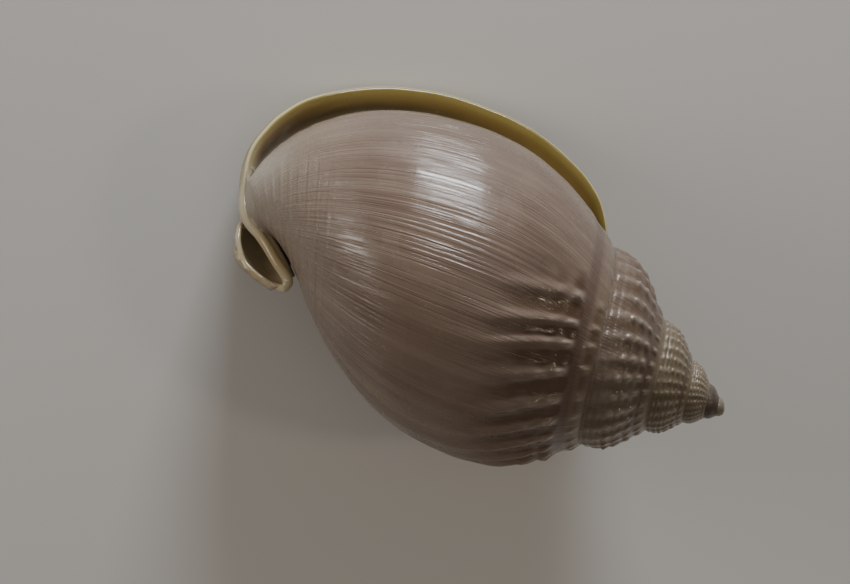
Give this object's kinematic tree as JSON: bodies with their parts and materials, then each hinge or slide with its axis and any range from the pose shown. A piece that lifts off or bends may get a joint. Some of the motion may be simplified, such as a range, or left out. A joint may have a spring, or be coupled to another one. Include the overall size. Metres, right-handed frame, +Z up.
{
  "type": "bonnet shell",
  "caption": "Dextral helmet-shaped sea shell with a beaded spire, a low-ribbed body whorl, a rolled outer lip and a short upturned siphonal canal, lying on its aperture.",
  "frame": {"origin": "on the ground under the middle of the shell as it lies on its aperture", "axes": "+Z up, +X towards the apex, +Y towards the outer lip"},
  "size_m": [0.098, 0.0628, 0.0518],
  "materials": {
    "shell": "satin, glossier on the lip and canal"
  },
  "bodies": {
    "root": {"shell": "shell"}
  },
  "joints": []
}
